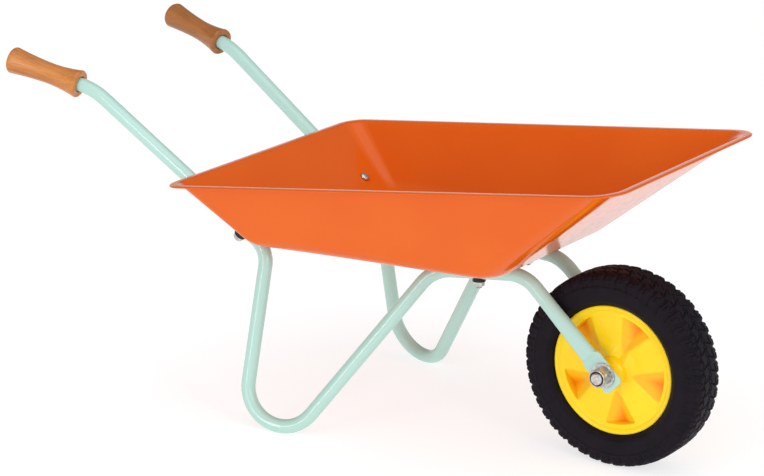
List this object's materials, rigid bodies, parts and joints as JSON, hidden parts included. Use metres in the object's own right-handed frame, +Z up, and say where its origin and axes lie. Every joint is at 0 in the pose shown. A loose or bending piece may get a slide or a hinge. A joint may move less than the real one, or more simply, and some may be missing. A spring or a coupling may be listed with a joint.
{
  "type": "wheelbarrow",
  "caption": "Child's metal wheelbarrow: pressed steel tray on bent side tubes with looped feet, turned wooden grips and a treaded wheel that spins.",
  "frame": {"origin": "on the floor, under the middle of the whole object's box", "axes": "+X forward to the wheel, +Y to the left, +Z up"},
  "size_m": [0.7822, 0.3382, 0.3644],
  "materials": {
    "tray_paint": "glossy orange powder coat",
    "tube_paint": "glossy mint powder coat",
    "grip_wood": "turned beech, clear lacquer",
    "zinc_steel": "bright zinc plate",
    "black_rubber": "matt",
    "black_plastic": "satin",
    "yellow_plastic": "moulded, glossy",
    "tyre_rubber": "matt"
  },
  "bodies": {
    "barrow": {"tray": "tray_paint", "right_side_tube": "tube_paint", "left_side_tube": "tube_paint", "right_grip": "grip_wood", "left_grip": "grip_wood", "rear_tray_bolts": "zinc_steel", "front_tray_bolts": "zinc_steel", "rear_tube_pads": "black_rubber", "front_tube_pads": "black_rubber", "rear_saddle_washers": "black_plastic", "front_saddle_washers": "black_plastic", "rear_tray_nuts": "zinc_steel", "front_tray_nuts": "zinc_steel", "axle_bolt": "zinc_steel", "axle_lock_nut": "zinc_steel", "lock_nut_insert": "black_plastic", "outer_axle_washers": "zinc_steel", "inner_axle_washers": "zinc_steel", "axle_sleeve": "zinc_steel"},
    "wheel": {"right_rim_half": "yellow_plastic", "left_rim_half": "yellow_plastic", "tyre": "tyre_rubber"}
  },
  "joints": [
    {"name": "wheel_spin", "type": "hinge", "parent": "barrow", "child": "wheel", "pos_m": [0.2895, 0, 0.101], "axis": [0, 1, 0], "continuous": true}
  ]
}
